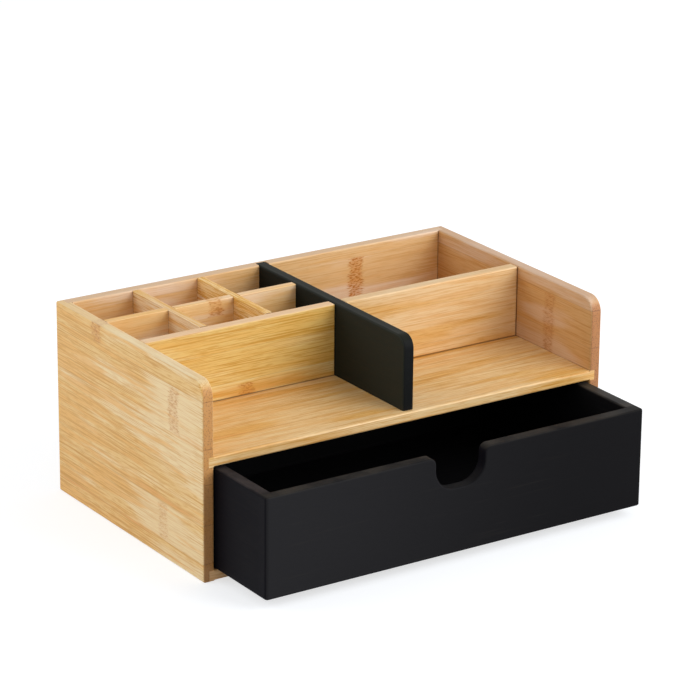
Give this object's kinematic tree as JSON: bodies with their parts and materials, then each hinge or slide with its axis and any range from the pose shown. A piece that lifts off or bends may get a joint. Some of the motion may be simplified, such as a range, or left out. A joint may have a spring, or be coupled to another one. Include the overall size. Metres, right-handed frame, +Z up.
{
  "type": "desk organizer with drawer",
  "caption": "Desk organizer in bamboo: divided pen wells, a rear bin and two open trays above a black sliding drawer with a finger notch.",
  "frame": {"origin": "on the surface the organizer stands on, below the middle of the cabinet", "axes": "+X to the right seen from the front, +Y to the back, +Z up; the drawer pulls out towards -Y"},
  "size_m": [0.25, 0.198, 0.108],
  "materials": {
    "bamboo": "clear matt lacquer on laminated bamboo",
    "black_paint": "matt black paint on board"
  },
  "bodies": {
    "cabinet": {"left_side": "bamboo", "right_side": "bamboo", "back_panel": "bamboo", "base_board": "bamboo", "shelf": "bamboo", "centre_divider": "black_paint", "pen_bay_front": "bamboo", "rear_bin_front": "bamboo", "pen_bay_long_divider": "bamboo", "pen_bay_cross_divider_left": "bamboo", "pen_bay_cross_divider_right": "bamboo"},
    "drawer": {"drawer_front": "black_paint", "drawer_left_side": "black_paint", "drawer_right_side": "black_paint", "drawer_back": "black_paint", "drawer_bottom": "black_paint"}
  },
  "joints": [
    {"name": "drawer_slide", "type": "slide", "parent": "cabinet", "child": "drawer", "axis": [0, -1, 0], "range_m": [-0.048, 0.055]}
  ]
}
